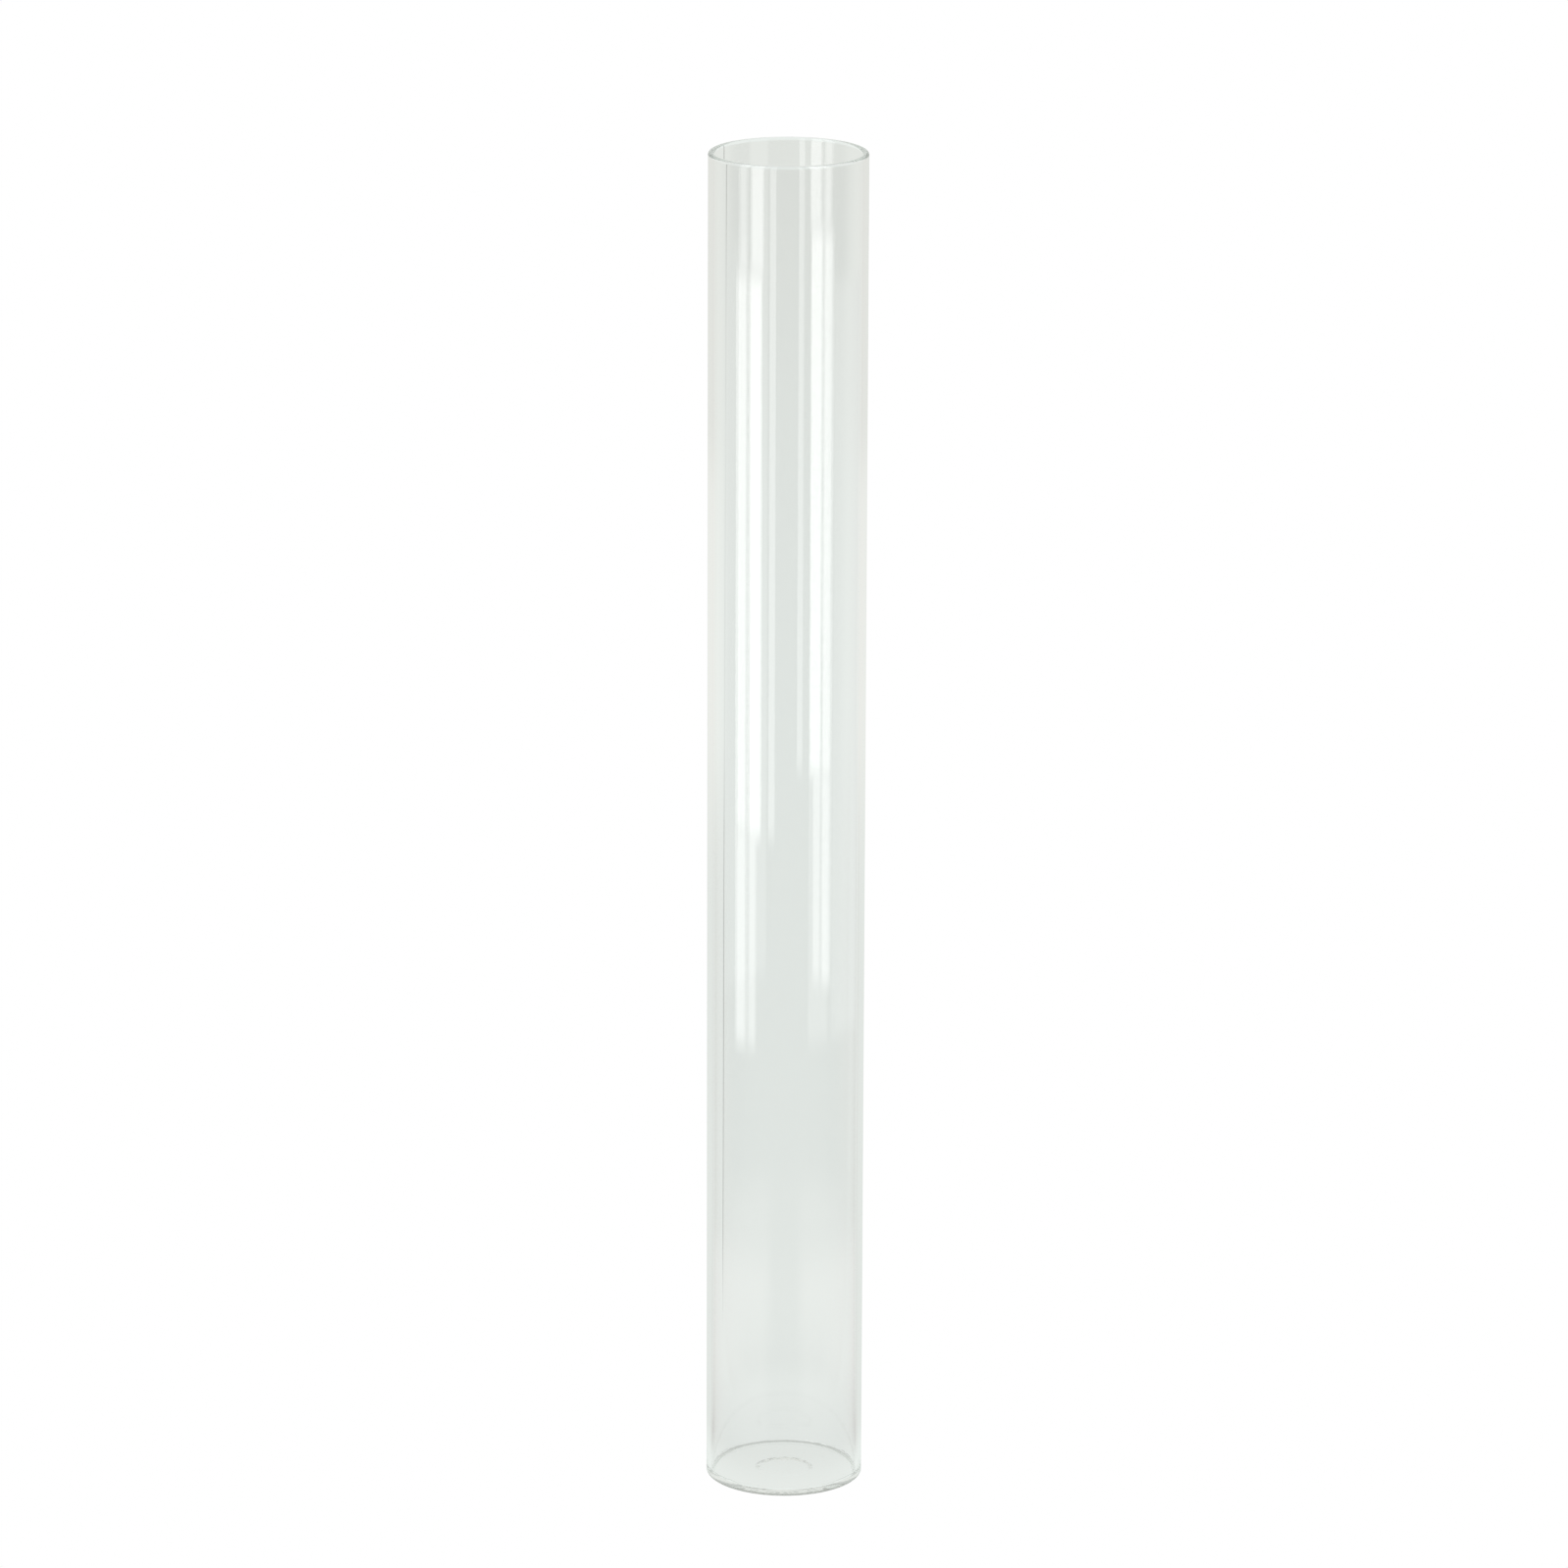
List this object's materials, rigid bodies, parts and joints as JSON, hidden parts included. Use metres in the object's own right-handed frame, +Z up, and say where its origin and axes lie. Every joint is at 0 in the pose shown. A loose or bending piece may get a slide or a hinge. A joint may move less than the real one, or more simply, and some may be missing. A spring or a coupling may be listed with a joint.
{
  "type": "flat-bottomed glass cylinder",
  "caption": "Tall straight-walled clear glass cylinder with a fire-polished open mouth and a flat closed base.",
  "frame": {"origin": "where the cylinder's axis meets the surface that the cylinder stands on", "axes": "+Z up along the cylinder's axis, out of the open mouth; X and Y are equal, because the part is round"},
  "size_m": [0.075, 0.075, 0.65],
  "materials": {
    "wall_glass": "gloss",
    "floor_glass": "gloss",
    "seam_glass": "gloss"
  },
  "bodies": {
    "root": {"wall_tube": "wall_glass", "floor_disc": "floor_glass", "melted_seam": "seam_glass"}
  },
  "joints": []
}
